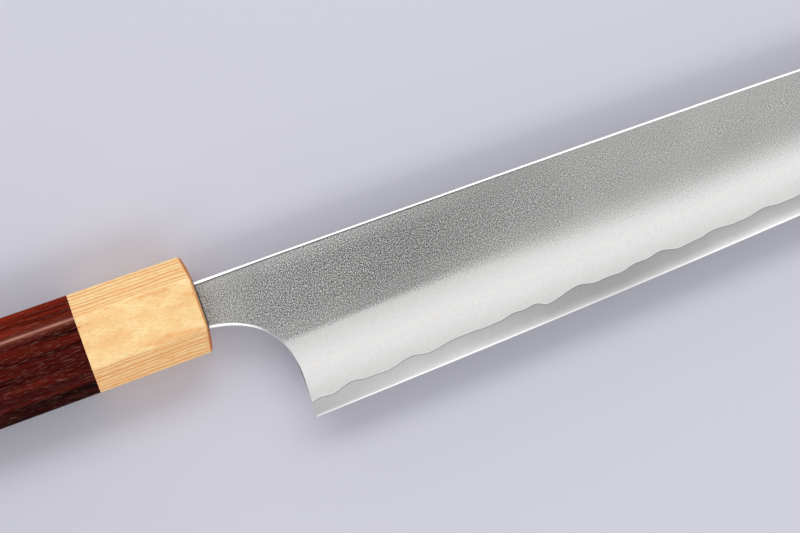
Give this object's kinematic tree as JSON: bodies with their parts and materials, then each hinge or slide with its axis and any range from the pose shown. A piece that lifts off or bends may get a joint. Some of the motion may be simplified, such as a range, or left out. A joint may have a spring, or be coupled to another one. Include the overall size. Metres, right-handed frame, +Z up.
{
  "type": "sujihiki knife",
  "caption": "Long slicing knife with a layered steel blade, pear-skin flats above a misted bevel and wavy clad line, and an octagonal rosewood handle with a pale wood ferrule.",
  "frame": {"origin": "under the middle of the knife's box, on the surface that the handle's lower facet rests on", "axes": "+X along the handle towards the tip, +Y towards the spine, +Z up, out of the blade's right face"},
  "size_m": [0.4318, 0.0478, 0.0195],
  "materials": {
    "core_steel": "fine stone polish with a honed edge",
    "clad_steel": "pear-skin texture above the ridge, misted stone finish on the bevel",
    "pale_wood": "smooth, satin",
    "rosewood": "oiled, low gloss, open pores",
    "dowel_wood": "turned, unfinished",
    "adhesive": "cured resin",
    "filler": "dark resin filler"
  },
  "bodies": {
    "root": {"core_steel": "core_steel", "right_cladding": "clad_steel", "left_cladding": "clad_steel", "ferrule": "pale_wood", "handle_body": "rosewood", "tang_dowel": "dowel_wood", "tang_bedding": "adhesive", "mouth_seal": "filler"}
  },
  "joints": []
}
